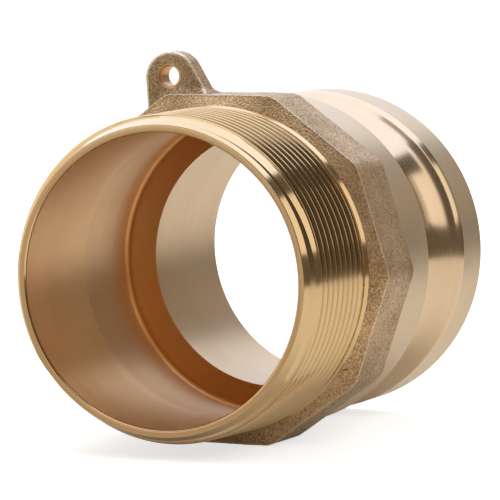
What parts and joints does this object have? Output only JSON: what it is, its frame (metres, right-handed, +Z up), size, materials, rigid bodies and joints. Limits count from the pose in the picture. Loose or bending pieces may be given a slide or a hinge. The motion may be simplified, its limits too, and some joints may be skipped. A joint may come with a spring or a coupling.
{
  "type": "camlock coupling adapter",
  "caption": "Brass cam and groove adapter half: smooth grooved nose, many-sided wrench collar with a lanyard lug, and a male taper pipe thread, with an open bore right through.",
  "frame": {"origin": "on the surface that the part lies on, at the bottom centre of its box: the axis of the bore is 32.5 mm above it", "axes": "+Y along the bore's axis, from the threaded end to the nose; +Z up, square to the wrench flat that it rests on; +X to the right when looking into the threaded end"},
  "size_m": [0.0684, 0.083, 0.0727],
  "materials": {
    "turned_brass": "fine turned, golden",
    "cast_brass": "as sand cast, matte and grainy",
    "satin_brass": "satin turned",
    "polished_brass": "polished"
  },
  "bodies": {
    "root": {"male_pipe_thread": "turned_brass", "wrench_collar": "cast_brass", "lanyard_lug": "cast_brass", "shoulder_ring": "satin_brass", "cam_groove": "polished_brass", "sealing_nose": "satin_brass"}
  },
  "joints": []
}
